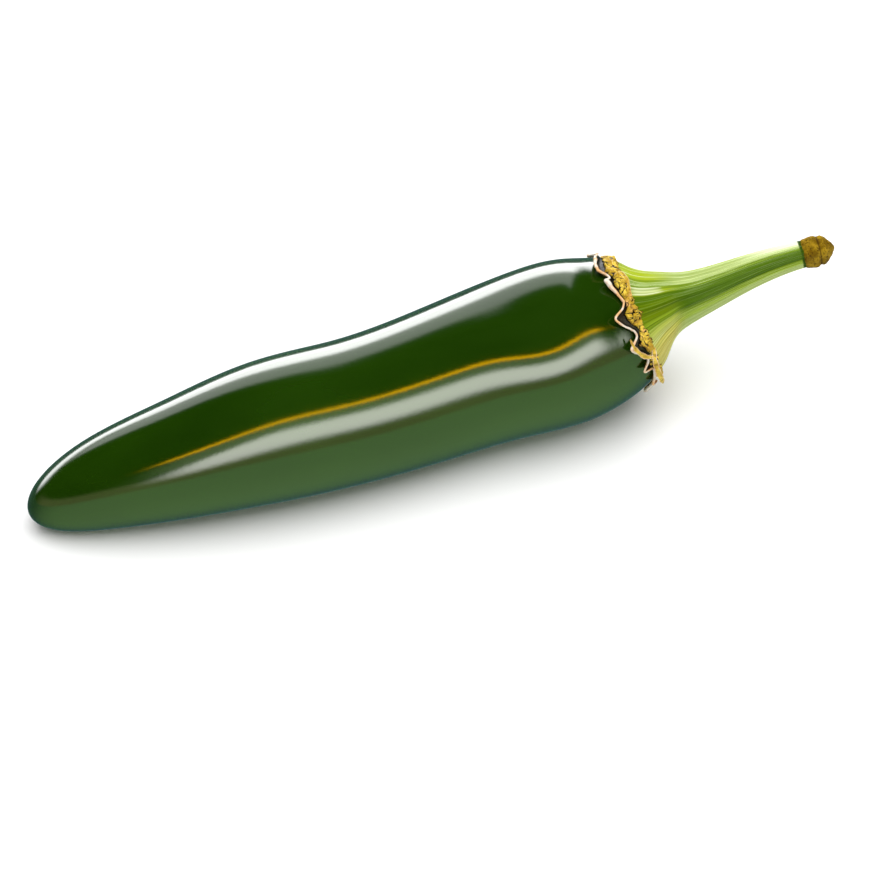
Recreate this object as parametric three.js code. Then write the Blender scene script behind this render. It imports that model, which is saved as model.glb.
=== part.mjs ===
// A green chilli pepper, as picked, lying on its side: the long pod, the dried frilled rim of its calyx,
// the ribbed stem that flares down on to the pod's shoulder, and the corky end where the stem left the plant.
// Millimetres, +Z up. The pod's tip points along -X and the stem along +X; the pod rests on z = 0.
import * as THREE from "three";

// Driving dimensions.
const podLength = 100;
const tipRoundness = 4.7; // how far from the tip the pod takes to fill out
const shoulderRoundness = 0.85; // the same at the stem end
const ridgeCount = 3;
const ridgeDepth = 0.008; // share of the radius
const ridgeTwist = 2.5; // radians from tip to shoulder
const calyxThickness = 0.6;
const stemReach = 27.8; // how far forward of its foot the green of the stem ends
const ribCount = 5;
const ribDepth = 0.05; // share of the radius
const ribStart = 0.9; // radians
const ribFade = 1 / 3; // share of the stem, from its foot, over which the ribs grow to full depth
const gap = 0.3; // between pieces that touch
const noseRise = 0.1; // how far the corky end's point stands beyond its last ring
// Lumps round the corky end: how many, depth as a share of the radius, where they start in radians.
const corkLumps = [
  [2, 0.04, 1],
  [5, 0.03, 0],
];

// The pod's core line from tip to shoulder. Each station is a share of the pod's length, then the core's
// place sideways and its height, then the flesh's radius, in mm.
const podStations = [
  [0.0055, -2.4, 2.9, 5.4],
  [0.12, -2.5, 6.75, 7.7],
  [0.25, -3.65, 9.3, 9.4],
  [0.385, -2.95, 11.0, 11.4],
  [0.51, -3.0, 10.9, 11.15],
  [0.63, -1.7, 11.4, 11.65],
  [0.75, 0.35, 12.0, 12.3],
  [0.865, 1.2, 12.4, 13.45],
  [0.935, 1.45, 13.25, 11.9],
  [1.0, 1.5, 15.5, 9.6],
];

// The stem's core line, from the middle of its foot: forward, sideways and up, then its radius, in mm.
const stemStations = [
  [0, -0.25, -0.15, 9.6],
  [1.4, -0.3, 0.3, 8.2],
  [3, -0.25, 0.8, 5.9],
  [5.2, 0.25, 0.85, 4.9],
  [8.5, 0.35, 1.05, 3.85],
  [13, 0.5, 1.95, 3.2],
  [19, 0.75, 3.55, 2.6],
  [26, 0.55, 5.1, 2.1],
  [33, -0.4, 6.2, 1.95],
];

// Rings of the corky end: how far along from the top of the stem, then the radius, in mm.
const capRings = [
  [0, 2.3],
  [0.5, 2.7],
  [1.3, 2.85],
  [1.9, 2.65],
  [2.2, 2.3],
  [2.8, 2.3],
  [3.6, 1.95],
  [4.2, 1.3],
  [4.5, 0.6],
];

// Lobes of the calyx's rim: place round the pod in degrees, reach along the skin in mm, half width in
// degrees, and how far the lobe's edge stands off the skin in mm.
const calyxLobes = [
  [10, 2.0, 13, 0.9],
  [52, 0.2, 10, 0.45],
  [88, 1.9, 8, 0.7],
  [106, 1.4, 6, 0.6],
  [133, 3.3, 9, 0.9],
  [159, 3.0, 8, 0.8],
  [184, 2.2, 7, 0.5],
  [222, 0.6, 10, 0.3],
  [258, 1.2, 13, 0.4],
  [296, 1.4, 12, 0.5],
  [332, 2.0, 13, 0.7],
];
const footBack = 1.6; // how far short of the pod's end the stem's foot stops
const calyxInner = footBack + 0.36;
const calyxBand = 0.7; // width of the rim between lobes
const edgeLift = 0.25; // how far the rim's edge stands off the skin between lobes

// Steps of the meshes.
const podRings = 36;
const podSides = 28;
const calyxSides = 108;
const stemRings = 22;
const stemCrowding = 1.3; // above 1, the rings crowd towards the foot
const stemSides = 30;
const capSides = 22;

// A smooth curve through rows of numbers: a uniform cubic B-spline that starts and ends on its end rows.
function spline(rows, t) {
  const last = rows.length - 1;
  const at = Math.min(Math.max(t, 0), 1) * last;
  const i = Math.min(Math.floor(at), last - 1);
  const f = at - i;
  const row = (k) =>
    k < 0
      ? rows[0].map((v, n) => 2 * v - rows[1][n])
      : k > last
        ? rows[last].map((v, n) => 2 * v - rows[last - 1][n])
        : rows[k];
  const weights = [
    (1 - f) ** 3 / 6,
    (3 * f ** 3 - 6 * f ** 2 + 4) / 6,
    (-3 * f ** 3 + 3 * f ** 2 + 3 * f + 1) / 6,
    f ** 3 / 6,
  ];
  return rows[0].map((_, n) => weights.reduce((sum, w, k) => sum + w * row(i - 1 + k)[n], 0));
}

// The point, direction and two cross axes of a core line: across is level, over is upwards.
function coreFrame(rows, t) {
  const step = 1e-3;
  const point = new THREE.Vector3(...spline(rows, t));
  const before = new THREE.Vector3(...spline(rows, Math.max(t - step, 0)));
  const after = new THREE.Vector3(...spline(rows, Math.min(t + step, 1)));
  const along = after.sub(before).normalize();
  const across = new THREE.Vector3(0, 0, 1).cross(along).normalize();
  const over = along.clone().cross(across);
  return { point, along, across, over };
}

const podCore = podStations.map(([share, side, up]) => [share * podLength, side, up]);
const podFlesh = podStations.map((row) => [row[3]]);
const podEnd = podCore.at(-1)[0];
const podStart = podCore[0][0];

function podRadiusAt(t) {
  const [x] = spline(podCore, t);
  const [flesh] = spline(podFlesh, t);
  const tip = 1 - Math.exp(-(x - podStart) / tipRoundness);
  const shoulder = 1 - Math.exp(-(podEnd - x) / shoulderRoundness);
  return flesh * Math.sqrt(Math.max(tip * shoulder, 0));
}

// A point on the pod's skin, or lift mm off it along the skin's normal. turn is in radians.
function onPod(t, turn, lift = 0) {
  const { point, along, across, over } = coreFrame(podCore, t);
  const step = 1e-3;
  const [a, b] = [Math.max(t - step, 0), Math.min(t + step, 1)];
  const slope = Math.atan2(podRadiusAt(b) - podRadiusAt(a), spline(podCore, b)[0] - spline(podCore, a)[0]);
  const ridge = 1 + ridgeDepth * Math.cos(ridgeCount * turn + ridgeTwist * t);
  const out = across.multiplyScalar(Math.cos(turn)).addScaledVector(over, Math.sin(turn));
  return point
    .addScaledVector(out, podRadiusAt(t) * ridge + lift * Math.cos(slope))
    .addScaledVector(along, -lift * Math.sin(slope));
}

// Where on the core line the pod is the given length short of its end.
function shortOfEnd(back) {
  let [low, high] = [0.5, 1];
  for (let i = 0; i < 40; i++) {
    const t = (low + high) / 2;
    if (podEnd - spline(podCore, t)[0] > back) low = t;
    else high = t;
  }
  return high;
}

// A closed body from loops of points. Open ends are closed with a fan; round joins the last loop to the first.
function skin(loops, { start, end, round = false } = {}) {
  const sides = loops[0].length;
  const points = loops.flat();
  const faces = [];
  const rows = round ? loops.length : loops.length - 1;
  for (let i = 0; i < rows; i++)
    for (let j = 0; j < sides; j++) {
      const [a, b] = [i * sides, ((i + 1) % loops.length) * sides];
      const k = (j + 1) % sides;
      faces.push(a + j, b + k, b + j, a + j, a + k, b + k);
    }
  const fan = (hub, first, flip) => {
    points.push(hub);
    for (let j = 0; j < sides; j++) {
      const pair = [first + j, first + ((j + 1) % sides)];
      faces.push(points.length - 1, ...(flip ? pair : pair.reverse()));
    }
  };
  if (start) fan(start, 0, false);
  if (end) fan(end, (loops.length - 1) * sides, true);
  const positions = new Float32Array(points.flatMap((p) => [p.x, p.y, p.z]));
  const geometry = new THREE.BufferGeometry();
  geometry.setAttribute("position", new THREE.BufferAttribute(positions, 3));
  geometry.setIndex(faces);
  geometry.computeVertexNormals();
  return geometry;
}

const turns = (count, shift = 0) =>
  Array.from({ length: count }, (_, j) => (2 * Math.PI * (j + shift)) / count);

// The pod, settled on to the surface so that its underside is flat where it bears.
function podGeometry() {
  const rest = (p) => p.setZ(Math.max(p.z, 0));
  const loops = [];
  for (let i = 1; i < podRings; i++) {
    const t = (1 - Math.cos((Math.PI * i) / podRings)) / 2;
    loops.push(turns(podSides, 0.5).map((turn) => rest(onPod(t, turn))));
  }
  return skin(loops, { start: onPod(0, 0), end: onPod(1, 0) });
}

// The lobes at one place round the rim: how far they reach, and how far their edge stands off the skin.
function lobesAt(turn) {
  const degrees = THREE.MathUtils.radToDeg(turn);
  let [reach, lift] = [0, edgeLift];
  for (const [place, length, width, rise] of calyxLobes) {
    const off = THREE.MathUtils.euclideanModulo(degrees - place + 180, 360) - 180;
    const share = Math.exp(-((off / width) ** 2));
    reach += length * share;
    lift += rise * share;
  }
  return [reach, lift];
}

// The calyx's rim: a thin collar on the shoulder whose lobes run down over the skin and curl off it.
function calyxGeometry() {
  const steps = 6;
  const shares = Array.from({ length: steps + 1 }, (_, k) => k / steps);
  const loops = turns(calyxSides).map((turn) => {
    const [reach, lift] = lobesAt(turn);
    const place = (share, extra) => {
      const back = calyxInner + (calyxBand + reach) * share;
      return onPod(shortOfEnd(back), turn, gap + lift * share ** 3 + extra);
    };
    const upper = shares.map((share) => place(share, calyxThickness));
    const under = shares.map((share) => place(share, 0)).reverse();
    return [...upper, ...under];
  });
  return skin(loops, { round: true });
}

const footT = shortOfEnd(footBack);
const footMiddle = coreFrame(podCore, footT).point;
const stemCore = stemStations.map(([forward, side, up]) => [
  footMiddle.x + gap + forward,
  footMiddle.y + side,
  footMiddle.z + up,
]);
const stemFlesh = stemStations.map((row) => [row[3]]);

// Where on the stem's core line it is the given length forward of the foot.
function stemShareAt(forward) {
  let [low, high] = [0, 1];
  for (let i = 0; i < 40; i++) {
    const t = (low + high) / 2;
    if (spline(stemCore, t)[0] - stemCore[0][0] < forward) low = t;
    else high = t;
  }
  return high;
}

// A loop square across the stem's core line, its radius varied by lumps(turn).
function stemLoop(t, radius, sides, lumps) {
  const { point, across, over } = coreFrame(stemCore, t);
  return turns(sides).map((turn) => {
    const out = across.clone().multiplyScalar(Math.cos(turn)).addScaledVector(over, Math.sin(turn));
    return point.clone().addScaledVector(out, radius * (1 + lumps(turn)));
  });
}

// The stem: its foot follows the pod's shoulder, and its ribs run up to the corky end.
function stemGeometry() {
  const loops = [0.25, 0.5, 0.75, 1].map((share) =>
    turns(stemSides).map((turn) => onPod(1 - share * (1 - footT), turn, gap)),
  );
  const top = stemShareAt(stemReach);
  for (let i = 0; i <= stemRings; i++) {
    const share = i / stemRings;
    const t = top * share ** stemCrowding;
    const depth = ribDepth * Math.min(share / ribFade, 1);
    const ribs = (turn) => depth * Math.cos(ribCount * turn + ribStart);
    loops.push(stemLoop(t, spline(stemFlesh, t)[0], stemSides, ribs));
  }
  return skin(loops, { start: onPod(1, 0, gap), end: coreFrame(stemCore, top).point });
}

// The corky end: a thick band round the stem's tip, a groove, then a blunt nose.
function stemEndGeometry() {
  const lumps = (turn) =>
    corkLumps.reduce((sum, [count, depth, start]) => sum + depth * Math.cos(count * turn + start), 0);
  const at = (along) => stemShareAt(stemReach + gap + along);
  const loops = capRings.map(([along, radius]) => stemLoop(at(along), radius, capSides, lumps));
  const nose = capRings.at(-1)[0] + noseRise;
  return skin(loops, {
    start: coreFrame(stemCore, at(0)).point,
    end: coreFrame(stemCore, at(nose)).point,
  });
}

const group = new THREE.Group();
function addPart(name, geometry, color, roughness) {
  const material = new THREE.MeshStandardMaterial({ color, roughness, metalness: 0 });
  const mesh = new THREE.Mesh(geometry, material);
  mesh.name = name;
  group.add(mesh);
}

addPart("pod", podGeometry(), 0x1e4204, 0.18);
addPart("calyx", calyxGeometry(), 0xd9a441, 0.7);
addPart("stem", stemGeometry(), 0x86a52a, 0.4);
addPart("stem_end", stemEndGeometry(), 0x8a6a1e, 0.8);

// The object's middle stands over the origin.
const box = new THREE.Box3().setFromObject(group);
const middle = box.getCenter(new THREE.Vector3());
for (const part of group.children) part.geometry.translate(-middle.x, -middle.y, 0);

export default group;
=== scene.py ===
# A green chilli lying on its side: waxy pod, dried calyx, ribbed stem and corky stem end.
import math

import bpy
import numpy as np
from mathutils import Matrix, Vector, noise


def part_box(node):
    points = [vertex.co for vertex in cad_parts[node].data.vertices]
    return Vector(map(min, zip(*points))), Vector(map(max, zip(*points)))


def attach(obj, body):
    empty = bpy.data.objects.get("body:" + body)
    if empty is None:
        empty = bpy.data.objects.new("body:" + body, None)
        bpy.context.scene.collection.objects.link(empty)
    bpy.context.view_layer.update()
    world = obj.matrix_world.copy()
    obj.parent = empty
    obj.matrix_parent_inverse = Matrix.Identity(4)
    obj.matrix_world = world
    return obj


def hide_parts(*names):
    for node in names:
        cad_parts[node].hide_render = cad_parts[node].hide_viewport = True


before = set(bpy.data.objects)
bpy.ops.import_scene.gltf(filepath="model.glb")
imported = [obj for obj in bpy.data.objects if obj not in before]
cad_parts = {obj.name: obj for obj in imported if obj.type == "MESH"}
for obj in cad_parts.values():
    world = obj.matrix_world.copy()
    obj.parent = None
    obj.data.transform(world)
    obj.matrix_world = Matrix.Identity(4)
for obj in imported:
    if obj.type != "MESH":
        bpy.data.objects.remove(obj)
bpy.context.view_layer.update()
mm = 0.001  # the shapes below are worked out in millimetres
tau = 2 * math.pi
smallStep = 1e-3  # the step along a core line that its slope is taken over
lookupSteps = 4000  # points tried when a place on a core line is looked up
seedShift = (17.3, 5.1, 9.7)  # each seed reads the noise this much further on


# A uniform cubic B-spline drawn by rows of numbers. It starts and ends on its end rows.
def spline(rows, t):
    rows = np.asarray(rows, float)
    rows = np.vstack([2 * rows[0] - rows[1], rows, 2 * rows[-1] - rows[-2]])
    last = len(rows) - 3
    at = np.clip(np.asarray(t, float), 0, 1) * last
    i = np.minimum(at.astype(int), last - 1)
    f = (at - i)[..., None]
    weights = ((1 - f) ** 3, 3 * f**3 - 6 * f**2 + 4, -3 * f**3 + 3 * f**2 + 3 * f + 1, f**3)
    return sum(w * rows[i + k] for k, w in enumerate(weights)) / 6


def unit(v):
    return v / np.maximum(np.linalg.norm(v, axis=-1, keepdims=True), 1e-12)


# Point on a core line with its direction and two cross axes: across is level, over is upwards.
def coreFrame(core, t):
    ahead, behind = np.minimum(t + smallStep, 1), np.maximum(t - smallStep, 0)
    along = unit(spline(core, ahead) - spline(core, behind))
    across = unit(np.cross([0.0, 0.0, 1.0], along))
    return spline(core, t), along, across, np.cross(along, across)


def smoothStep(low, high, x):
    f = np.clip((x - low) / (high - low), 0, 1)
    return f * f * (3 - 2 * f)


# Smooth seeded noise over an array of points, between about -1 and 1.
def ripple(points, size, seed):
    flat = np.asarray(points, float).reshape(-1, 3) / size
    offset = Vector([seed * shift for shift in seedShift])
    values = [noise.noise(Vector(p) + offset) for p in flat]
    return np.array(values).reshape(np.shape(points)[:-1])


# Adds ripples of several sizes to what they start from. Each layer is size in mm, seed, strength.
def ripples(points, layers, start=0.0):
    return sum((strength * ripple(points, size, seed) for size, seed, strength in layers), start)


podShape = {
    "length": 100,
    "tipRoundness": 4.7,
    "shoulderRoundness": 0.85,
    "ridgeCount": 3,
    "ridgeDepth": 0.008,
    "ridgeTwist": 2.5,
    # the near side leans a little before the belly: how strongly in mm, the turn it pivots on and how
    # far round it reaches in degrees, and where on the core line it is centred and how long it lasts
    "lean": 0.95,
    "leanTurn": 132,
    "leanWidth": 60,
    "leanPlace": 0.72,
    "leanLength": 0.07,
    "bearing": 0.35,  # height over which the underside eases on to the floor
    "rings": 360,
    "sides": 240,
    # share of the length, sideways, up, flesh radius
    "stations": [
        [0.0055, -2.4, 2.9, 5.4],
        [0.12, -2.5, 6.75, 7.7],
        [0.25, -3.65, 9.3, 9.4],
        [0.385, -2.95, 11.0, 11.4],
        [0.51, -3.0, 10.9, 11.15],
        [0.63, -1.7, 11.4, 11.65],
        [0.75, 0.35, 12.0, 12.3],
        [0.865, 1.2, 12.4, 13.45],
        [0.935, 1.45, 13.25, 11.9],
        [1.0, 1.5, 15.5, 9.6],
    ],
}
podCore = np.array([[row[0] * podShape["length"], row[1], row[2]] for row in podShape["stations"]])
podFlesh = np.array([[row[3]] for row in podShape["stations"]])
podStart, podEnd = podCore[0][0], podCore[-1][0]


def podRadius(t):
    x = spline(podCore, t)[..., 0]
    tip = 1 - np.exp(-(x - podStart) / podShape["tipRoundness"])
    shoulder = 1 - np.exp(-(podEnd - x) / podShape["shoulderRoundness"])
    return spline(podFlesh, t)[..., 0] * np.sqrt(np.maximum(tip * shoulder, 0))


# How far the near side leans out or in, in mm.
def podLean(t, turn):
    off = (turn - math.radians(podShape["leanTurn"]) + math.pi) % tau - math.pi
    lean = podShape["lean"] * np.exp(-(((t - podShape["leanPlace"]) / podShape["leanLength"]) ** 2))
    return lean * np.sin(2 * off) * np.exp(-((off / math.radians(podShape["leanWidth"])) ** 2))


# Points on the pod's skin, lift mm off it. t runs from tip to shoulder. turn goes round it in radians
# from the far side, over the top.
def onPod(t, turn, lift=0.0):
    t, turn, lift = np.broadcast_arrays(t, turn, lift)
    point, along, across, over = coreFrame(podCore, t)
    ahead, behind = np.minimum(t + smallStep, 1), np.maximum(t - smallStep, 0)
    rise = podRadius(ahead) - podRadius(behind)
    slope = np.arctan2(rise, spline(podCore, ahead)[..., 0] - spline(podCore, behind)[..., 0])
    ridge = 1 + podShape["ridgeDepth"] * np.cos(podShape["ridgeCount"] * turn + podShape["ridgeTwist"] * t)
    out = np.cos(turn)[..., None] * across + np.sin(turn)[..., None] * over
    radius = podRadius(t) * ridge + podLean(t, turn) + lift * np.cos(slope)
    return point + radius[..., None] * out - (lift * np.sin(slope))[..., None] * along


# Where on the core line the pod is this far short of its end. The stretch nearest the stem is enough.
def shortOfEnd(back):
    t = np.linspace(0.4, 1, lookupSteps)
    left = podEnd - spline(podCore, t)[..., 0]
    return np.interp(back, left[::-1], t[::-1])


# A mesh from loops of points: rows x sides x 3. The sides wrap round. Each end closes with a fan on a
# point, or the last row joins the first when it is ring shaped.
def loopMesh(name, loops, start=None, end=None, ringShaped=False):
    rows, sides = loops.shape[:2]
    i, j = np.meshgrid(np.arange(rows if ringShaped else rows - 1), np.arange(sides), indexing="ij")
    i, j = i.ravel(), j.ravel()
    below, beyond = (i + 1) % rows, (j + 1) % sides
    quads = np.stack([i * sides + j, i * sides + beyond, below * sides + beyond, below * sides + j], 1)
    u = np.stack([j, j + 1, j + 1, j], 1) / sides
    v = np.stack([i, i, i + 1, i + 1], 1) / max(rows - 1, 1)
    points = loops.reshape(-1, 3)
    faces, uvs = quads.tolist(), np.stack([u, v], 2).reshape(-1, 2)
    fan = np.arange(sides)
    for hub, first, edge in ((start, 0, 0.0), (end, (rows - 1) * sides, 1.0)):
        if hub is None:
            continue
        points = np.vstack([points, hub])
        pair = [first + fan, first + (fan + 1) % sides]
        pair = pair[::-1] if edge == 0 else pair
        faces += np.stack([np.full(sides, len(points) - 1), *pair], 1).tolist()
        shares = [fan / sides, (fan + 1) / sides]
        shares = shares[::-1] if edge == 0 else shares
        fanU = np.stack([(fan + 0.5) / sides, *shares], 1)
        uvs = np.vstack([uvs, np.stack([fanU, np.full_like(fanU, edge)], 2).reshape(-1, 2)])
    mesh = bpy.data.meshes.new(name)
    mesh.from_pydata(points.tolist(), [], faces)
    mesh.uv_layers.new(name="skin").data.foreach_set("uv", uvs.astype(np.float32).ravel())
    mesh.polygons.foreach_set("use_smooth", [True] * len(mesh.polygons))
    mesh.update()
    piece = bpy.data.objects.new(name, mesh)
    bpy.context.scene.collection.objects.link(piece)
    return piece


# Moves a piece from the shapes' own millimetres into the frame.
def settle(piece):
    co = np.empty(len(piece.data.vertices) * 3, np.float32)
    piece.data.vertices.foreach_get("co", co)
    piece.data.vertices.foreach_set("co", ((co.reshape(-1, 3) + toFrame) * mm).astype(np.float32).ravel())
    piece.data.update()


# A number, or a direction, kept at each point of a piece for its material to read.
def keepOnPoints(piece, name, values):
    values = np.asarray(values, np.float32)
    kind, field = ("FLOAT", "value") if values.ndim == 1 else ("FLOAT_VECTOR", "vector")
    made = piece.data.attributes.new(name, kind, "POINT")
    made.data.foreach_set(field, values.ravel())


def finishPiece(piece, material, slot, *nodes):
    settle(piece)
    piece.data.materials.append(material)
    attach(piece, "root")
    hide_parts(*nodes)


def addNode(tree, kind, inputs=None, **settings):
    made = tree.nodes.new("ShaderNode" + kind)
    for key, value in settings.items():
        setattr(made, key, value)
    for key, value in (inputs or {}).items():
        plug(tree, value, made.inputs[key])
    return made


def plug(tree, value, socket):
    if isinstance(value, bpy.types.NodeSocket):
        tree.links.new(value, socket)
    else:
        socket.default_value = value


def calc(tree, operation, *values):
    made = addNode(tree, "Math", operation=operation)
    for k, value in enumerate(values):
        plug(tree, value, made.inputs[k])
    return made.outputs[0]


# Eases from outLow to outHigh as value goes from low to high.
def ease(tree, value, low, high, outLow=0.0, outHigh=1.0):
    made = addNode(tree, "MapRange", interpolation_type="SMOOTHSTEP")
    for key, number in zip(("Value", "From Min", "From Max", "To Min", "To Max"),
                           (value, low, high, outLow, outHigh)):
        plug(tree, number, made.inputs[key])
    return made.outputs[0]


# From the first colour to the second by share. The node's colour sockets come after its plain ones.
def mixColour(tree, share, first, second, blend="MIX"):
    made = addNode(tree, "Mix", data_type="RGBA", blend_type=blend)
    for k, value in ((0, share), (6, first), (7, second)):
        plug(tree, (*value, 1) if isinstance(value, tuple) else value, made.inputs[k])
    return made.outputs[2]


def ramp(tree, value, stops):
    made = addNode(tree, "ValToRGB", {"Fac": value})
    made.color_ramp.interpolation = "EASE"
    elements = made.color_ramp.elements
    for k, (place, colour) in enumerate(stops):
        element = elements[k] if k < 2 else elements.new(place)
        element.position = place
        element.color = (*colour, 1)
    return made.outputs[0]


def grain(tree, vector, scale, detail, rough):
    inputs = {"Vector": vector, "Scale": scale, "Detail": detail, "Roughness": rough}
    return addNode(tree, "TexNoise", inputs).outputs[0]


def stored(tree, name, output="Fac"):
    return addNode(tree, "Attribute", attribute_name=name).outputs[output]


def newMaterial(name):
    material = bpy.data.materials.new(name)
    material.use_nodes = True
    tree = material.node_tree
    return material, tree, tree.nodes["Principled BSDF"]


# Gives a shader its colour, roughness, gloss and fine relief.
def dress(tree, shader, look, colour, roughness, height):
    strength, depth = look["relief"]
    relief = addNode(tree, "Bump", {"Height": height, "Strength": strength, "Distance": depth})
    plug(tree, colour, shader.inputs["Base Color"])
    plug(tree, roughness, shader.inputs["Roughness"])
    plug(tree, look["gloss"], shader.inputs["Specular IOR Level"])
    plug(tree, relief.outputs[0], shader.inputs["Normal"])


# In every look, a grain is its scale, detail and roughness. Levels are the values between which a
# shade comes in, and relief is its strength and its depth in metres.
waxySkin = {
    "deepGreen": (0.0062, 0.0255, 0.0001),
    "lightGreen": (0.0095, 0.0345, 0.0003),
    "mottle": (90, 4, 0.55),
    "mottleLevels": (0.3, 0.7),
    "stretch": (0.35, 1, 1),  # draws the mottling out along the pod
    "speck": (1400, 2, 0.5),
    "relief": (0.02, 0.0003),
    "roughness": 0.13,
    "roughnessSpread": 0.015,
    "gloss": 0.5,
}


def makePod():
    rings, sides = podShape["rings"], podShape["sides"]
    t = (1 - np.cos(math.pi * np.arange(1, rings) / rings)) / 2  # the rings crowd at both ends
    turn = tau * (np.arange(sides) + 0.5) / sides
    loops = onPod(t[:, None], turn[None, :])
    bearing = podShape["bearing"]
    z = loops[..., 2]
    eased = np.maximum(z + bearing, 0) ** 2 / (4 * bearing)
    loops[..., 2] = np.where(z > bearing, z, np.where(z < -bearing, 0, eased))
    return loops


# The middle of the pod ties the shapes to the frame, and the floor is already at zero in both.
podLoops = makePod()
podPoints = podLoops.reshape(-1, 3)
podLow, podHigh = (np.array(corner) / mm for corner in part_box("pod"))
toFrame = (podLow + podHigh) / 2 - (podPoints.min(0) + podPoints.max(0)) / 2
toFrame[2] = 0


def waxySkinMaterial():
    material, tree, shader = newMaterial("waxy_green_skin")
    look = waxySkin
    place = addNode(tree, "TexCoord").outputs["Object"]
    drawnOut = addNode(tree, "Mapping", {"Vector": place, "Scale": look["stretch"]}).outputs[0]
    mottle = grain(tree, drawnOut, *look["mottle"])
    colour = mixColour(tree, ease(tree, mottle, *look["mottleLevels"]), look["deepGreen"], look["lightGreen"])
    middle, spread = look["roughness"], look["roughnessSpread"]
    roughness = ease(tree, mottle, *look["mottleLevels"], middle - spread, middle + spread)
    dress(tree, shader, look, colour, roughness, grain(tree, place, *look["speck"]))
    return material


pod = loopMesh("pod_skin", podLoops, onPod(0.0, 0.0), onPod(1.0, 0.0))
finishPiece(pod, waxySkinMaterial(), "pod", "pod")
print("pod", len(pod.data.polygons), "faces, shift", toFrame.round(3))


stemShape = {
    "reach": 27.8,  # how far forward of its foot the green ends
    "footBack": 1.6,  # how far short of the pod's end the foot stops
    "gap": 0.3,  # from the pod to the stem, and from the green to the cork
    "clearance": 0.1,  # between the foot's hidden underside and the pod
    "underRows": (0.25, 0.6, 1.0),  # rows of that underside, as shares of the way to the foot's edge
    "rings": 260,
    "sides": 300,
    "spread": 1.3,  # above 1, the rings crowd towards the foot
    "ribRise": 3,  # the ribs are at full depth from one part in this many of the way up
    # how many ribs, their depth as a share of the radius, where they start and how they drift
    "ribs": [(5, 0.05, 0.9, 0.0), (13, 0.016, 1.3, 1.2), (22, 0.012, 0.4, -1.6), (37, 0.007, 2.2, 0.8)],
    # forward, sideways and up from the foot's middle, radius
    "stations": [
        [0, -0.25, -0.15, 9.6],
        [1.4, -0.3, 0.3, 8.2],
        [3, -0.25, 0.8, 5.9],
        [5.2, 0.25, 0.85, 4.9],
        [8.5, 0.35, 1.05, 3.85],
        [13, 0.5, 1.95, 3.2],
        [19, 0.75, 3.55, 2.6],
        [26, 0.55, 5.1, 2.1],
        [33, -0.4, 6.2, 1.95],
    ],
}
footT = shortOfEnd(stemShape["footBack"])
footMiddle = spline(podCore, footT)
stemCore = np.array([row[:3] for row in stemShape["stations"]]) + footMiddle + [stemShape["gap"], 0, 0]
stemFlesh = np.array([row[3:] for row in stemShape["stations"]])


# Where on the stem's core line it is this far forward of the foot.
def stemShareAt(forward):
    t = np.linspace(0, 1, lookupSteps)
    return np.interp(forward, spline(stemCore, t)[..., 0] - stemCore[0][0], t)


stemTop = stemShareAt(stemShape["reach"])


# Points on the stem's skin, lift mm off it, with t from foot to top and turn as on the pod.
def onStem(t, turn, lift=0.0):
    t, turn, lift = np.broadcast_arrays(t, turn, lift)
    point, _, across, over = coreFrame(stemCore, t)
    share = (t / stemTop) ** (1 / stemShape["spread"])
    ribs = sum(
        depth * np.cos(count * turn + start + drift * share)
        for count, depth, start, drift in stemShape["ribs"]
    )
    ribs = ribs * np.minimum(share * stemShape["ribRise"], 1)
    radius = spline(stemFlesh, t)[..., 0] * (1 + ribs) + lift
    out = np.cos(turn)[..., None] * across + np.sin(turn)[..., None] * over
    return point + radius[..., None] * out


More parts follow.
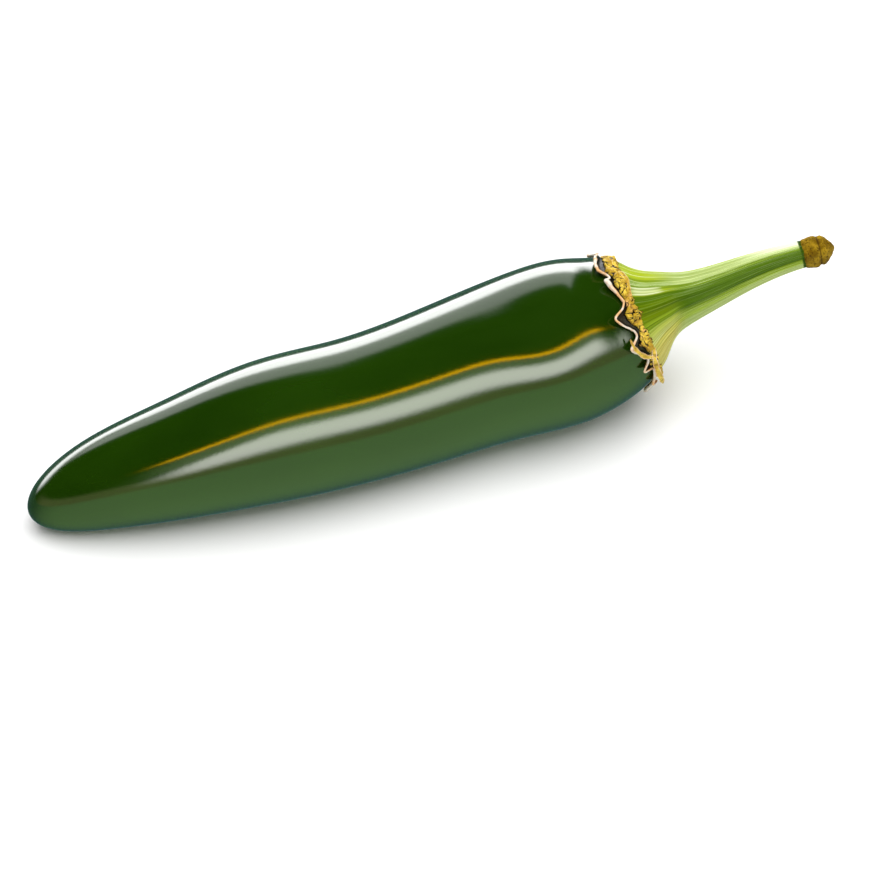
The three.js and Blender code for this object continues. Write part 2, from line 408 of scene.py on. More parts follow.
stemSkin = {
    "lime": (0.36, 0.44, 0.02),
    "grass": (0.15, 0.24, 0.012),
    "green": (0.066, 0.132, 0.002),
    "deepGreen": (0.05, 0.108, 0.0005),
    "darkGreen": (0.027, 0.062, 0.0005),
    "olive": (0.12, 0.185, 0.0005),
    "spring": (0.22, 0.32, 0.012),
    "straw": (0.44, 0.47, 0.09),
    "tan": (0.53, 0.46, 0.1),
    # pale, painted as highlight along the neck's upper edge and used again along its lower edge
    "pale": (0.38, 0.47, 0.15),
    "line": (0.68, 0.80, 0.38),
    # pale colour of the painted highlight near the foot
    "paintedHighlight": (0.66, 0.70, 0.42),
    # white painted as highlight along the upper edge near the top
    "bright": (0.93, 1.0, 0.68),
    # shades round the foot and the neck, from the upper edge at 0 to the lower one at 1; the pale shade along
    # the neck's upper edge is painted highlight
    "upperEdge": 44,  # where the upper edge is, in degrees round the stem
    "footShades": [
        (0.0, "lime"), (0.22, "lime"), (0.27, "grass"), (0.34, "grass"), (0.38, "lime"), (0.42, "green"),
        (0.52, "olive"), (0.6, "spring"), (0.67, "straw"), (0.78, "tan"),
    ],
    "neckShades": [
        (0.0, "lime"), (0.15, "pale"), (0.3, "pale"), (0.36, "grass"), (0.42, "green"), (0.62, "deepGreen"),
        (0.68, "spring"), (0.85, "pale"),
    ],
    "neckFrom": (0.09, 0.28),  # where along the stem the neck's shades take over
    # the pale lines are the stem's own streaks, made strongest along the upper edge as painted highlight
    "upperPart": (0.44, 0.3),  # where round the stem the pale lines come in, above and below
    "lowerPart": (0.62, 0.72),
    "lowerShare": 0.5,  # how strong they are below, against above
    "lineShare": 0.12,  # how much of them is left in between
    "lineLevels": (0.55, 0.64),
    "furrowLevels": (0.47, 0.37),
    "furrowShade": 0.6,
    "waver": 0.16,  # how far the shades' borders waver
    # a painted highlight, a soft pale spot near the foot: place round the stem, place along it, and its half
    # sizes
    "paintedHighlightSpot": (0.365, 0.075, 0.028, 0.05),
    "paintedHighlightLevels": (1.8, 0.2),  # by the square of the distance, in half sizes
    "paintedHighlightShare": 0.8,
    "paintedHighlightBreaks": (0.4, 0.6),  # levels of the streaks that break it up, and how much of it they leave
    "paintedHighlightLeast": 0.4,
    # a painted highlight along the upper edge, whitening towards the top: from where along, within what part
    # round, and how far
    "highlightFrom": (0.6, 0.95),
    "highlightWithin": (0.3, 0.2),
    "highlightShare": 0.85,
    "ringFrom": (0.976, 0.986),  # the dark ring that ends the green
    "streakPitch": 0.05,  # how fast the streaks change along the stem, against 1 round it
    "fine": (14, 4, 0.6),
    "finer": (40, 3, 0.6),
    "relief": (0.25, 0.0002),
    "roughness": (0.27, 0.4),  # of the smoothest streaks and the roughest
    "roughLevels": (0.3, 0.7),
    "gloss": 0.07,
}


def makeStem():
    shape, sides = stemShape, stemShape["sides"]
    turn = tau * np.arange(sides) / sides
    foot = 1 - np.array(shape["underRows"]) * (1 - footT)
    under = onPod(foot[:, None], turn[None, :], shape["clearance"])
    share = np.arange(shape["rings"] + 1) / shape["rings"]
    t = stemTop * share ** shape["spread"]
    body = onStem(t[:, None], turn[None, :])
    hub = onPod(1.0, 0.0, shape["clearance"])
    piece = loopMesh("stem_green", np.concatenate([under, body]), hub, spline(stemCore, stemTop))
    shares = (spline(stemCore, t)[:, 0] - stemCore[0][0]) / shape["reach"]
    shares = np.concatenate([np.zeros(len(foot)), shares])
    alongs = np.concatenate([np.repeat(shares, sides), [0, 1]])
    turns = np.concatenate([np.tile(turn, len(shares)), [0, 0]])
    keepOnPoints(piece, "along", alongs)
    streaks = np.stack([alongs * stemSkin["streakPitch"], np.cos(turns), np.sin(turns)], 1)
    keepOnPoints(piece, "streak", streaks)
    halfWay = (np.degrees(turns) - stemSkin["upperEdge"]) % 360 / 180
    keepOnPoints(piece, "around", np.where(halfWay > 1, 2 - halfWay, halfWay))
    return piece


def stemShades(tree, around, shades):
    return ramp(tree, around, [(place, stemSkin[name]) for place, name in shades])


# A painted highlight: a soft pale spot round a place on the stem, broken up along the streaks.
def paintedHighlightSpot(tree, along, around, streaks):
    look = stemSkin
    place, height, halfWidth, halfHeight = look["paintedHighlightSpot"]
    aside = calc(tree, "DIVIDE", calc(tree, "SUBTRACT", around, place), halfWidth)
    up = calc(tree, "DIVIDE", calc(tree, "SUBTRACT", along, height), halfHeight)
    off = calc(tree, "ADD", calc(tree, "MULTIPLY", aside, aside), calc(tree, "MULTIPLY", up, up))
    broken = ease(tree, streaks, *look["paintedHighlightBreaks"], look["paintedHighlightLeast"], 1.0)
    return calc(tree, "MULTIPLY", ease(tree, off, *look["paintedHighlightLevels"], 0.0, look["paintedHighlightShare"]), broken)


def stemMaterial():
    material, tree, shader = newMaterial("ribbed_green_stem")
    look = stemSkin
    along, around = stored(tree, "along"), stored(tree, "around")
    streak = stored(tree, "streak", "Vector")
    fine, finer = grain(tree, streak, *look["fine"]), grain(tree, streak, *look["finer"])
    waver = calc(tree, "MULTIPLY", calc(tree, "SUBTRACT", fine, 0.5), look["waver"])
    wander = calc(tree, "ADD", around, waver)
    foot, neck = (stemShades(tree, wander, look[part]) for part in ("footShades", "neckShades"))
    colour = mixColour(tree, ease(tree, along, *look["neckFrom"]), foot, neck)
    # the pale lines are the stem's own streaks, made strongest along the upper edge as painted highlight
    upper = ease(tree, around, *look["upperPart"])
    lower = ease(tree, around, *look["lowerPart"], 0.0, look["lowerShare"])
    lined = calc(tree, "MAXIMUM", upper, lower)
    lines = calc(tree, "ADD", lined, look["lineShare"])
    lines = calc(tree, "MULTIPLY", ease(tree, finer, *look["lineLevels"]), lines)
    colour = mixColour(tree, lines, colour, look["line"])
    furrow = mixColour(tree, lined, look["darkGreen"], look["grass"])
    shade = ease(tree, finer, *look["furrowLevels"], 0.0, look["furrowShade"])
    colour = mixColour(tree, shade, colour, furrow)
    # painted highlight: a pale spot near the foot
    colour = mixColour(tree, paintedHighlightSpot(tree, along, wander, finer), colour, look["paintedHighlight"])
    # painted highlight: the upper edge turns white towards the top
    top = ease(tree, wander, *look["highlightWithin"], 0.0, look["highlightShare"])
    top = calc(tree, "MULTIPLY", ease(tree, along, *look["highlightFrom"]), top)
    colour = mixColour(tree, top, colour, look["bright"])
    colour = mixColour(tree, ease(tree, along, *look["ringFrom"]), colour, look["darkGreen"])
    roughness = ease(tree, fine, *look["roughLevels"], *look["roughness"])
    dress(tree, shader, look, colour, roughness, finer)
    return material


finishPiece(makeStem(), stemMaterial(), "stem", "stem")
print("stem done")


corkShape = {
    "rings": 90,
    "sides": 160,
    "lumps": 0.16,  # height of the lumps in mm
    "lumpRipples": [(0.9, 1, 0.6), (0.35, 2, 0.4)],
    "smoothStart": 0.1,  # share of the profile over which the lumps grow
    "waves": [(2, 0.04, 1), (5, 0.03, 0)],  # how many round it, depth as a share of the radius, start
    # the groove is painted dark as shade in its recess
    "groove": (2.08, 0.14),  # place and half width of the dark groove
    "nose": 4.65,  # where the blunt nose closes
    # along from the top of the stem, radius
    "profile": [
        [-0.5, 1.9], [-0.35, 2.25], [0.1, 2.4], [0.7, 2.5], [1.3, 2.6], [1.75, 2.55], [2.0, 2.3], [2.2, 2.3],
        [2.6, 2.45], [3.1, 2.2], [3.7, 1.6], [4.2, 0.95], [4.6, 0.25],
    ],
}
corkLook = {
    "brown": (0.14, 0.078, 0.001),
    "gold": (0.33, 0.205, 0.009),
    "dark": (0.035, 0.015, 0.001),
    "pitShade": 0.7,  # how dark the pits are
    "grooveShade": 0.8,  # and the groove
    "blotch": (700, 4, 0.6),
    "blotchLevels": (0.35, 0.65),
    "pits": (2600, 3, 0.6),
    "pitLevels": (0.46, 0.36),
    "relief": (0.6, 0.0003),
    "roughness": 0.7,
    "gloss": 0.1,
}


def makeCork():
    shape, sides = corkShape, corkShape["sides"]
    turn = tau * np.arange(sides) / sides
    share = np.linspace(0, 1, shape["rings"])
    rows = spline(shape["profile"], share)
    base = stemShape["reach"] + stemShape["gap"]
    t = stemShareAt(base + rows[:, 0])
    point, _, across, over = coreFrame(stemCore, t)
    waves = sum((depth * np.cos(count * turn + start) for count, depth, start in shape["waves"]), 1)
    radius = rows[:, 1][:, None] * waves[None, :]
    out = np.cos(turn)[None, :, None] * across[:, None] + np.sin(turn)[None, :, None] * over[:, None]
    loops = point[:, None] + radius[..., None] * out
    lumps = ripples(loops, shape["lumpRipples"]) * shape["lumps"]
    loops += (lumps * smoothStep(0, shape["smoothStart"], share)[:, None])[..., None] * out
    nose = spline(stemCore, stemShareAt(base + shape["nose"]))
    piece = loopMesh("stem_cork", loops, spline(stemCore, t[0]), nose)
    middle, half = shape["groove"]
    groove = np.exp(-(((rows[:, 0] - middle) / half) ** 2))
    keepOnPoints(piece, "groove", np.concatenate([np.repeat(groove, sides), [0, 0]]))
    return piece


def corkMaterial():
    material, tree, shader = newMaterial("brown_cork")
    look = corkLook
    place = addNode(tree, "TexCoord").outputs["Object"]
    blotch, pits = grain(tree, place, *look["blotch"]), grain(tree, place, *look["pits"])
    colour = mixColour(tree, ease(tree, blotch, *look["blotchLevels"]), look["brown"], look["gold"])
    shade = ease(tree, pits, *look["pitLevels"], 0.0, look["pitShade"])
    colour = mixColour(tree, shade, colour, look["dark"])
    # painted shade in the groove
    groove = calc(tree, "MULTIPLY", stored(tree, "groove"), look["grooveShade"])
    colour = mixColour(tree, groove, colour, look["dark"])
    dress(tree, shader, look, colour, look["roughness"], pits)
    return material


finishPiece(makeCork(), corkMaterial(), "stem_end", "stem_end")
print("cork done")


calyxShape = {
    "sides": 1440,
    "funnelRows": 14,  # rows up the stem's foot, out over the pod's skin and round the lip
    "skinRows": 64,
    "lipRows": 11,
    "inner": 1.96,  # how far short of the pod's end the band begins
    "band": 0.7,  # its least width, between the lobes
    "underFoot": 0.1,  # how far beyond the foot's edge the rim meets the skin
    "climbFrom": 0.02,  # the cuff climbs the stem's foot from here
    "climb": 0.45,  # and by this much on average
    "leastClimb": 0.05,
    "smoothing": 4,  # passes over the corner between foot and skin
    "wellInside": 9.0,  # the cuff counts as this far from the edge
    # the top: a crumpled cuff over a low seat, cracked, then hollows that widen in the longer lobes
    "cuffHeight": 0.6,
    "cuffEnd": (0.1, 1.0),  # shares of the climb over which it comes down to its upper border
    "cuffSlope": 1.3,  # distance from the edge over which it comes down to the skin
    "seatHeight": 0.03,
    "crumple": 0.3,
    "crumpleEnd": (0.5, 1),
    "cracks": [(1.25, 7, 0.07), (0.8, 11, 0.06)],  # size in mm, seed, width
    "crackFrom": (0.3, 0.6),  # distances from the edge over which cracks begin
    "crackDepth": 0.16,
    "leastHeight": 0.05,
    "hollowWidth": (0.12, 0.62, 1.1),  # least width, how fast it widens, from what length of skin
    "hollowStart": (0.05, 0.15),  # distances from the edge over which a hollow starts and ends
    "hollowEnd": (0.3, 0.55),
    "hollowDepth": 0.9,
    "edgeLift": 0.3,
    "edgeSlope": (0.45, 0.2),  # the raised edge is this wide, plus this share of the length of skin
    "edgeCurve": 1.5,
    # the edge rolls over into a lip, between these degrees
    "lipRadius": 0.1,
    "lipTurn": (20, 230),
    "lipSmoothing": 6,
    "thickness": 0.12,
    "lipThinning": 0.6,  # share of the thickness that the lip keeps
    "paleEdge": 0.12,  # how far in from the edge the lip's colour reaches
    "seam": (0.45, 1.0),  # shares of the climb over which the brown seam comes in
    # the underside is painted dark, as shade under the sheet
    "underShade": 0.55,  # how dark the underside is
    # ripples round the rim are read on a circle of this radius
    "circle": 10,
    "reachRipples": [(1.3, 3, 0.16), (0.4, 4, 0.08)],
    "lipRipples": [(0.8, 9, 0.5)],
    "climbRipples": [(1.5, 5, 0.9), (0.35, 6, 0.8)],
    "hollowRipples": [(0.9, 10, 0.5)],
    "crumpleRipples": [(1.1, 8, 0.8), (0.4, 12, 0.35)],
    # place round the pod in degrees, reach in mm, width before and after it in degrees, lift of its
    # edge and radius of its rolled lip in mm
    "lobes": [
        [26, 1.6, 6, 9, 0.5, 0.05],
        [90, 2.3, 26, 4.5, 0.7, 0.14],
        [101.5, 1.7, 3.5, 12, 0.5, 0.2],
        [131, 3.2, 4.5, 11, 0.8, 0.0],
        [156, 2.5, 3.5, 9, 0.7, 0.02],
        [180, 1.7, 3, 4.5, 0.5, 0.0],
        [206, 0.9, 6, 10, 0.4, 0.05],
        [238, 1.8, 5, 12, 0.5, 0.05],
        [268, 1.5, 4, 9, 0.5, 0.05],
        [299, 2.5, 5, 12, 0.8, 0.0],
        [330, 1.8, 4, 9, 0.6, 0.1],
        [355, 2.7, 5, 11, 0.8, 0.0],
    ],
    "lobePeak": 1.7,  # below 2 the lobes come to a sharper point
}


# The lobes at one place round the rim: reach, lift of the edge and radius of its lip.
def lobesAt(turn):
    degrees = np.degrees(turn)
    reach = np.zeros_like(turn)
    lift, lip = np.full_like(turn, calyxShape["edgeLift"]), np.full_like(turn, calyxShape["lipRadius"])
    for place, length, before, after, rise, roll in calyxShape["lobes"]:
        off = (degrees - place + 180) % 360 - 180
        share = np.exp(-(np.abs(off / np.where(off < 0, before, after)) ** calyxShape["lobePeak"]))
        reach += length * share
        lift += rise * share
        lip += roll * share
    return reach, lift, lip


def smoothRows(grid, passes):
    for _ in range(passes):
        grid[1:-1] = (grid[:-2] + 2 * grid[1:-1] + grid[2:]) / 4
    return grid


def aroundTangent(grid):
    return unit(np.roll(grid, -1, 1) - np.roll(grid, 1, 1))


# Where the rim sits: rows down the stem's foot, then out over the pod's skin. With them come how far up
# the foot each row is, how far each point is from the rim's edge, and the length of skin covered.
def rimSeat(turn, reach, climb):
    shape = calyxShape
    up = np.linspace(1, 0, shape["funnelRows"], endpoint=False)[:, None]
    forward = shape["climbFrom"] + np.maximum(climb, shape["leastClimb"])[None, :] * up
    funnel = onStem(stemShareAt(forward), turn[None, :])
    out = np.linspace(0, 1, shape["skinRows"])[:, None]
    foot = stemShape["footBack"] + shape["underFoot"]
    length = shape["inner"] - foot + shape["band"] + reach[None, :]
    skin = onPod(shortOfEnd(foot + length * out), turn[None, :])
    seat = smoothRows(np.concatenate([funnel, skin]), shape["smoothing"])
    onFunnel = np.concatenate([up[:, 0], np.zeros(shape["skinRows"])])[:, None]
    inside = np.full((shape["funnelRows"], shape["sides"]), shape["wellInside"])
    return seat, onFunnel, np.concatenate([inside, length * (1 - out)]), length


# Height of the rim's top over its seat, and where its hollows and cracks are.
def rimRelief(circle, seat, onFunnel, toEdge, length, lift):
    shape = calyxShape
    least, widening, beyond = shape["hollowWidth"]
    width = least + widening * np.maximum(length - beyond, 0)
    width = width * ripples(circle, shape["hollowRipples"], 1)[None, :]
    hollow = smoothStep(*shape["hollowStart"], toEdge)
    hollow = hollow * (1 - smoothStep(*(distance + width for distance in shape["hollowEnd"]), toEdge))
    crack = sum(np.exp(-((ripple(seat, size, seed) / half) ** 2)) for size, seed, half in shape["cracks"])
    crack = np.minimum(crack, 1) * smoothStep(*shape["crackFrom"], toEdge)
    crumple = shape["crumple"] * ripples(seat, shape["crumpleRipples"])
    height = shape["cuffHeight"] * (1 - smoothStep(*shape["cuffEnd"], onFunnel)) + shape["seatHeight"]
    height = height * smoothStep(0.0, shape["cuffSlope"], toEdge)
    height = height + crumple * (1 - smoothStep(*shape["crumpleEnd"], onFunnel))
    height = np.maximum(height - shape["crackDepth"] * crack, shape["leastHeight"])
    height = height * (1 - shape["hollowDepth"] * hollow)
    narrow, share = shape["edgeSlope"]
    raised = (1 - smoothStep(0.0, narrow + share * length, toEdge)) ** shape["edgeCurve"]
    return height + lift[None, :] * raised, hollow, crack


# Rows that roll the rim's edge over into a lip, and the way out of the sheet at each of them.
def rolledLip(top, normal, lip):
    shape, sides = calyxShape, calyxShape["sides"]
    line = top[-1:]
    thrice = smoothRows(np.concatenate([line[0]] * 3), shape["lipSmoothing"])  # so that the ends match
    along = aroundTangent(thrice[None, sides:2 * sides])
    up = unit(normal[-1:] - (normal[-1:] * along).sum(-1, keepdims=True) * along)
    out = np.cross(along, up)
    out *= np.sign((out * (line - top[-4:-3])).sum(-1).mean())
    roll = np.radians(np.linspace(*shape["lipTurn"], shape["lipRows"]))[:, None, None]
    rows = line + lip[None, :, None] * (np.sin(roll) * out + (1 - np.cos(roll)) * up)
    return rows, -np.sin(roll) * out + np.cos(roll) * up


def makeCalyx():
    shape = calyxShape
    turn = tau * np.arange(shape["sides"]) / shape["sides"]
    circle = shape["circle"] * np.stack([np.cos(turn), np.sin(turn), np.zeros_like(turn)], 1)
    reach, lift, lip = lobesAt(turn)
    reach = ripples(circle, shape["reachRipples"], reach)
    lip = lip * ripples(circle, shape["lipRipples"], 1)
    climb = shape["climb"] * ripples(circle, shape["climbRipples"], 1)
    seat, onFunnel, toEdge, length = rimSeat(turn, reach, climb)
    normal = unit(np.cross(aroundTangent(seat), unit(np.gradient(seat, axis=0))))
    normal *= np.sign((normal * (seat - seat.mean(axis=(0, 1)))).sum(-1).mean())
    height, hollow, crack = rimRelief(circle, seat, onFunnel, toEdge, length, lift)
    top = seat + normal * height[..., None]
    lipRows, lipNormal = rolledLip(top, normal, lip)
    sheet, normals = np.concatenate([top, lipRows]), np.concatenate([normal, lipNormal])
    thinning = np.array([1.0] * len(top) + [shape["lipThinning"]] * shape["lipRows"])
    under = sheet - normals * shape["thickness"] * thinning[:, None, None]
    piece = loopMesh("calyx_rim", np.concatenate([sheet, under[::-1]]), ringShaped=True)

    # What the material reads, on the sheet's top and on its underside. The outside of the rolled lip is
    # underside too.
    none = 0 * lipRows[..., 0]
    isLip = np.concatenate([0 * hollow, none + 1])
    onTop = {
        "edge": [1 - smoothStep(0.0, shape["paleEdge"], toEdge), none + 1],
        "hollow": [hollow, none],
        "crack": [crack, none],
        "seam": [smoothStep(*shape["seam"], onFunnel) + 0 * hollow, none],
    }
    # the underside is painted dark as shade through the hollow mark, except the lip's outside
    below = {"edge": isLip, "hollow": shape["underShade"] * (1 - isLip)}
    for name, parts in onTop.items():
        values = np.concatenate([*parts, below.get(name, 0 * isLip)[::-1]])
        keepOnPoints(piece, name, values.ravel())
    return piece


# Loose strips of the dried rim. Each point is on the stem or the pod: degrees round it, how far forward
# of the foot or short of the pod's end, how far off the skin, and half the strip's width.
looseStrips = {
    "calyx_hook": [
        ("stem", 122, 0.15, 0.25, 0.12), ("stem", 114, 0.35, 0.5, 0.22), ("stem", 105, 0.6, 0.75, 0.25),
        ("stem", 97, 0.8, 1.0, 0.3), ("stem", 91, 0.5, 1.15, 0.32), ("stem", 90, 0.0, 1.0, 0.2),
        ("pod", 93, 1.7, 0.8, 0.08),
    ],
    "calyx_flap": [
        ("pod", 170, 1.7, 0.7, 0.25), ("pod", 179, 2.5, 1.1, 0.42), ("pod", 192, 2.8, 1.5, 0.5),
        ("pod", 206, 2.7, 1.7, 0.42), ("pod", 221, 2.6, 1.6, 0.1),
    ],
    "calyx_curl": [
        ("pod", 149, 4.6, 1.1, 0.1), ("pod", 156, 4.7, 1.4, 0.28), ("pod", 163, 4.1, 1.5, 0.38),
        ("pod", 169, 3.3, 1.4, 0.36), ("pod", 174, 2.4, 1.1, 0.15),
    ],
}
stripShape = {
    "rows": 70,
    "sides": 28,
    "halfThickness": 0.12,
    "curl": 0.35,  # how far its sides rise, as a share of half its width
    "widthRipples": [(0.5, 13, 0.3)],
    "facing": (-0.2, -0.7, 0.7),
    "pale": (0.35, 0.6),  # how pale it is in the middle, and what its sides add
}


def stripPoint(on, degrees, away, lift, half):
    turn = math.radians(degrees)
    spot = onStem(stemShareAt(away), turn, lift) if on == "stem" else onPod(shortOfEnd(away), turn, lift)
    return [*spot, half]


def makeStrip(name, points):
    shape = stripShape
    rows = spline([stripPoint(*point) for point in points], np.linspace(0, 1, shape["rows"]))
    centre, half = rows[:, :3], rows[:, 3]
    along = unit(np.gradient(centre, axis=0))
    facing = np.array([shape["facing"]])
    side = unit(np.cross(along, unit(facing - (facing * along).sum(-1, keepdims=True) * along)))
    up = np.cross(side, along)
    turn = tau * np.arange(shape["sides"]) / shape["sides"]
    wide = half[:, None] * np.cos(turn) * ripples(centre, shape["widthRipples"], 1)[:, None]
    thick = shape["halfThickness"] * np.sin(turn)[None, :]
    thick = thick + shape["curl"] * half[:, None] * np.cos(turn)[None, :] ** 2
    loops = centre[:, None] + wide[..., None] * side[:, None] + thick[..., None] * up[:, None]
    piece = loopMesh(name, loops, centre[0], centre[-1])
    rim = np.abs(np.cos(turn))[None, :] ** 6 + 0 * half[:, None]
    middle, sides = shape["pale"]
    for key in ("edge", "hollow", "crack", "seam"):
        values = middle + sides * rim if key == "edge" else 0 * rim
        keepOnPoints(piece, key, np.concatenate([values.ravel(), [0, 0]]))
    return piece


calyxLook = {
    "brown": (0.12, 0.062, 0.003),
    "gold": (0.46, 0.285, 0.016),
    "yellow": (0.76, 0.54, 0.06),
    "peach": (0.76, 0.43, 0.14),
    "lip": (0.74, 0.42, 0.19),
    # pale patches on the lip, painted in as highlight
    "pale": (0.78, 0.70, 0.60),
    # painted as shade in the cracks, in the hollows and under the sheet
    "shadeBlack": (0.004, 0.003, 0.002),
    "shades": [(0.28, "peach"), (0.44, "gold"), (0.58, "yellow"), (0.72, "peach")],
    "patches": (420, 3, 0.55),
    "fibres": (1500, 4, 0.65),
    "fibreLevels": (0.5, 0.36),
    "fibreShade": 0.7,  # how dark the fibres are
    "lipLevels": (0.4, 0.6),
    "edgeLevels": (0.3, 0.8),
    "crackLevels": (0.45, 0.75),
    "hollowLevels": (0.4, 0.6),
    "seamLevels": (0.5, 0.8),
    "fleck": 1.3,  # how far the fibres fray the cracks and the seam
    "hollowFray": 0.6,  # how far they fray the hollows, as a share of that
    "relief": (0.5, 0.0003),
    "roughness": 0.42,
    "gloss": 0.25,
}


def calyxMaterial():
    material, tree, shader = newMaterial("dried_calyx")
    look = calyxLook
    place = addNode(tree, "TexCoord").outputs["Object"]
    patches, fibres = grain(tree, place, *look["patches"]), grain(tree, place, *look["fibres"])
    colour = ramp(tree, patches, [(spot, look[name]) for spot, name in look["shades"]])
    shade = ease(tree, fibres, *look["fibreLevels"], 0.0, look["fibreShade"])
    colour = mixColour(tree, shade, colour, look["brown"])
    edge, hollow, crack, seam = (stored(tree, name) for name in ("edge", "hollow", "crack", "seam"))
    # the lip: its own peach, with pale patches painted in as highlight
    lip = mixColour(tree, ease(tree, patches, *look["lipLevels"]), look["lip"], look["pale"])
    colour = mixColour(tree, ease(tree, edge, *look["edgeLevels"]), colour, lip)
    fleck = calc(tree, "MULTIPLY", calc(tree, "SUBTRACT", fibres, 0.5), look["fleck"])
    fray = calc(tree, "MULTIPLY", fleck, look["hollowFray"])
    # each mark, what frays it, its levels and its colour: cracks and hollows are painted black as shade in
    # them, the seam brown
    marks = [
        (crack, fleck, "crackLevels", "shadeBlack"),
        (hollow, fray, "hollowLevels", "shadeBlack"),
        (seam, fleck, "seamLevels", "brown"),
    ]
    for mark, frayed, levels, name in marks:
        share = ease(tree, calc(tree, "ADD", mark, frayed), *look[levels])
        colour = mixColour(tree, share, colour, look[name])
    dress(tree, shader, look, colour, look["roughness"], fibres)
    return material


driedCalyx = calyxMaterial()
for piece in [makeCalyx(), *(makeStrip(name, points) for name, points in looseStrips.items())]:
    finishPiece(piece, driedCalyx, "calyx", "calyx")
print("calyx done")


studio = {
    "floorSize": 3.0,
    "floorDrop": 0.00002,  # the floor is this far below the pod
    "floorTone": 0.9,
    "floorRoughness": 0.9,
    "aim": (0.00057, -0.004275, 0.0),  # where the camera looks, in metres
    "azimuth": -16.6,  # degrees from the -Y side towards +X
    "elevation": 45,
    "distance": 0.5,
    "lens": 128.25,
    "sensor": 36,
    "clipStart": 0.01,
    "fill": 0.42,  # brightness of the surroundings for soft light
    "backdrop": 1.0,  # and as they are seen
    "groundFront": (1.04, 1.75, 0.74),  # the ground as reflections see it, on the near side
    "groundBack": (0.1, 0.2, 0.2),  # and on the far side
    "groundTurn": (-0.9, 0.35),  # where the near side's ground turns into the far side's, by Y
    "groundEdge": (-4.0, 0.0),  # degrees of elevation over which the ground ends
    "key": {"from": (0.06, 0.0, 0.75), "size": (1.1, 1.1), "watts": 10.5},
}
# Soft boxes by direction from the chilli, in degrees: span of elevation, span of azimuth (0 faces the
# -Y side), softness of the lower, upper, first and last edges, how far the lower edge climbs from the
# first side to the middle, where the upper edge is highest, how fast it sags before and after that and
# at most how far, how much of the sag the lower edge follows, colour and brightness.
softBoxes = {
    "front": {
        "span": (9, 38), "across": (-23, 43), "soft": (6, 5, 7, 5), "climb": 5.5, "crest": 3,
        "sag": (0.028, 0.0045), "most": 40, "follow": 0, "colour": (1, 1, 0.93), "bright": 9.9,
    },
    "frontHaze": {
        "span": (20, 50), "across": (-30, 46), "soft": (8, 2, 8, 6), "climb": 0, "crest": 5,
        "sag": (0.011, 0.006), "most": 40, "follow": 0, "colour": (0.8, 1, 0.55), "bright": 1.5,
    },
    "goldEdge": {
        "span": (50.5, 54.5), "across": (-34, 51), "soft": (1.2, 1.2, 5, 4), "climb": 0, "crest": 5,
        "sag": (0.011, 0.0065), "most": 40, "follow": 1, "colour": (1, 0.5, 0.0), "bright": 15.0,
    },
    "back": {
        "span": (-3, 26), "across": (154, 226), "soft": (3, 4, 4, 10), "climb": -4, "crest": 170,
        "sag": (0.0, 0.025), "most": 15, "follow": 0, "colour": (1, 1, 1), "bright": 9.0,
    },
    "backHaze": {
        "span": (15, 51), "across": (154, 212), "soft": (5, 5, 3, 8), "climb": 0, "crest": 174,
        "sag": (-0.025, 0.02), "most": 40, "follow": 0, "colour": (1, 1, 1), "bright": 2.7,
    },
    "horizon": {
        "span": (-6, 12), "across": (-100, 100), "soft": (3, 4, 20, 20), "climb": 0, "crest": 0,
        "sag": (0.0, 0.0), "most": 0, "follow": 0, "colour": (1, 0.95, 0.45), "bright": 0.95,
    },
}


def addToScene(name, data):
    made = bpy.data.objects.new(name, data)
    bpy.context.scene.collection.objects.link(made)
    return made


def makeFloor():
    half = studio["floorSize"] / 2
    mesh = bpy.data.meshes.new("floor")
    corners = [(-half, -half), (half, -half), (half, half), (-half, half)]
    mesh.from_pydata([(x, y, -studio["floorDrop"]) for x, y in corners], [], [(0, 1, 2, 3)])
    floor = addToScene("floor", mesh)
    material, _, shader = newMaterial("pale_floor")
    tone = studio["floorTone"]
    shader.inputs["Base Color"].default_value = (tone, tone, tone, 1)
    shader.inputs["Roughness"].default_value = studio["floorRoughness"]
    shader.inputs["Specular IOR Level"].default_value = 0.0
    mesh.materials.append(material)
    floor.visible_glossy = False


def makeLamp():
    key = bpy.data.lights.new("key", "AREA")
    key.shape, key.size, key.size_y = "RECTANGLE", *studio["key"]["size"]
    key.energy = studio["key"]["watts"]
    lamp = addToScene("key", key)
    lamp.location = studio["key"]["from"]
    lamp.rotation_euler = (-lamp.location).to_track_quat("-Z", "Y").to_euler()
    lamp.visible_glossy = False
    lamp.visible_camera = False


def makeCamera():
    scene = bpy.context.scene
    az, el = math.radians(studio["azimuth"]), math.radians(studio["elevation"])
    away = Vector((math.sin(az) * math.cos(el), -math.cos(az) * math.cos(el), math.sin(el)))
    camera = bpy.data.cameras.new("camera")
    camera.lens, camera.sensor_width = studio["lens"], studio["sensor"]
    camera.clip_start = studio["clipStart"]
    eye = addToScene("camera", camera)
    eye.location = Vector(studio["aim"]) + away * studio["distance"]
    eye.rotation_euler = (-away).to_track_quat("-Z", "Y").to_euler()
    scene.camera = eye
    scene.view_settings.view_transform = "Standard"
    scene.view_settings.look = "None"


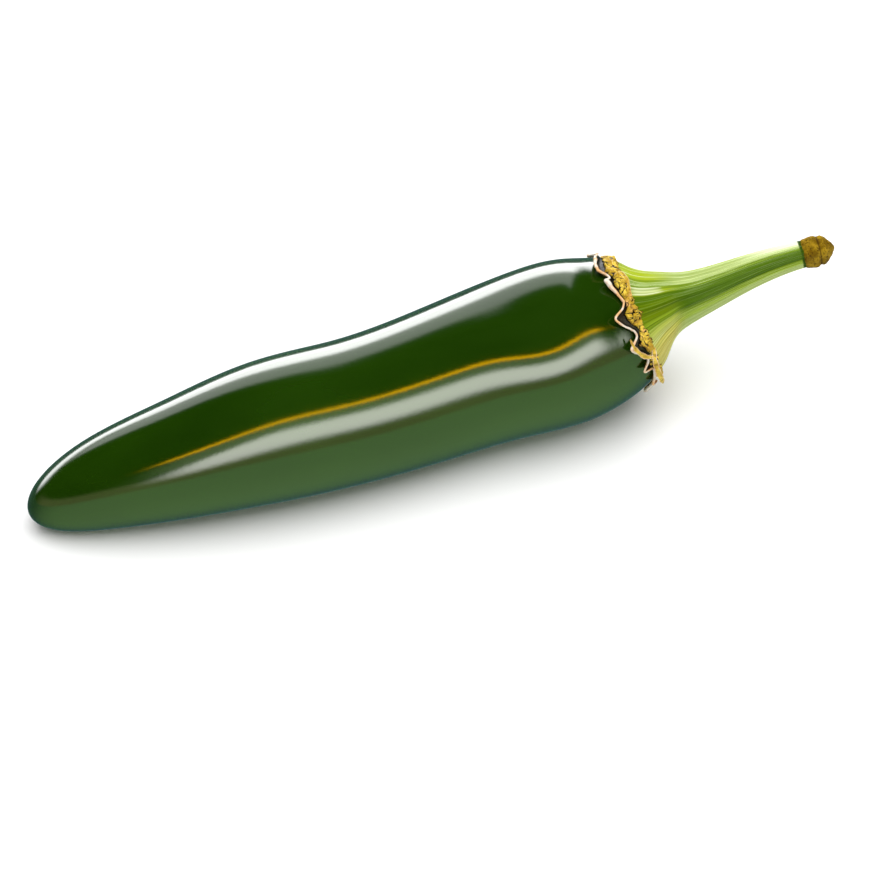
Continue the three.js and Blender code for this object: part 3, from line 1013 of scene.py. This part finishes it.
# What one soft box adds in each direction.
def softBox(tree, box, elevation, azimuth):
    first, last = box["across"]
    half = (last - first) / 2
    aside = calc(tree, "WRAP", calc(tree, "SUBTRACT", azimuth, (first + last) / 2), 180.0, -180.0)
    off = calc(tree, "WRAP", calc(tree, "SUBTRACT", azimuth, box["crest"]), 180.0, -180.0)
    rate = ease(tree, off, -1.0, 1.0, *box["sag"])  # from the one to the other about the crest
    sag = calc(tree, "MULTIPLY", calc(tree, "MULTIPLY", off, off), rate)
    sag = calc(tree, "MINIMUM", sag, box["most"])
    height = calc(tree, "ADD", elevation, sag)
    foot = calc(tree, "ADD", elevation, calc(tree, "MULTIPLY", sag, box["follow"]))
    foot = calc(tree, "SUBTRACT", foot, ease(tree, aside, -half, 0.0, 0.0, box["climb"]))
    lower, upper, near, far = box["soft"]
    low, high = box["span"]
    lit = ease(tree, foot, low - lower, low + lower)
    lit = calc(tree, "MULTIPLY", lit, ease(tree, height, high - upper, high + upper, 1.0, 0.0))
    lit = calc(tree, "MULTIPLY", lit, ease(tree, aside, -half - near, -half + near))
    lit = calc(tree, "MULTIPLY", lit, ease(tree, aside, half - far, half + far, 1.0, 0.0))
    return mixColour(tree, lit, (0, 0, 0), tuple(c * box["bright"] for c in box["colour"]))


# Reflections see the soft boxes and the ground. Soft light and the camera each see one plain tone.
def makeSurroundings():
    world = bpy.data.worlds.new("surroundings")
    bpy.context.scene.world = world
    world.use_nodes = True
    tree = world.node_tree
    tree.nodes.clear()
    way = addNode(tree, "TexCoord").outputs["Generated"]
    x, y, z = addNode(tree, "SeparateXYZ", {0: way}).outputs
    elevation = calc(tree, "DEGREES", calc(tree, "ARCSINE", z))
    azimuth = calc(tree, "DEGREES", calc(tree, "ARCTAN2", x, calc(tree, "MULTIPLY", y, -1.0)))
    glow = None
    for box in softBoxes.values():
        shown = softBox(tree, box, elevation, azimuth)
        glow = shown if glow is None else mixColour(tree, 1.0, glow, shown, "ADD")
    sheen = mixColour(tree, ease(tree, y, *studio["groundTurn"]), studio["groundFront"], studio["groundBack"])
    glow = mixColour(tree, ease(tree, elevation, *studio["groundEdge"], 1.0, 0.0), glow, sheen)
    rays = addNode(tree, "LightPath").outputs
    plain = mixColour(tree, rays["Is Camera Ray"], (studio["fill"],) * 3, (studio["backdrop"],) * 3)
    final = mixColour(tree, rays["Is Glossy Ray"], plain, glow)
    background = addNode(tree, "Background", {"Color": final, "Strength": 1.0})
    output = addNode(tree, "OutputWorld")
    tree.links.new(background.outputs[0], output.inputs["Surface"])


makeFloor()
makeLamp()
makeCamera()
makeSurroundings()
print("studio done")
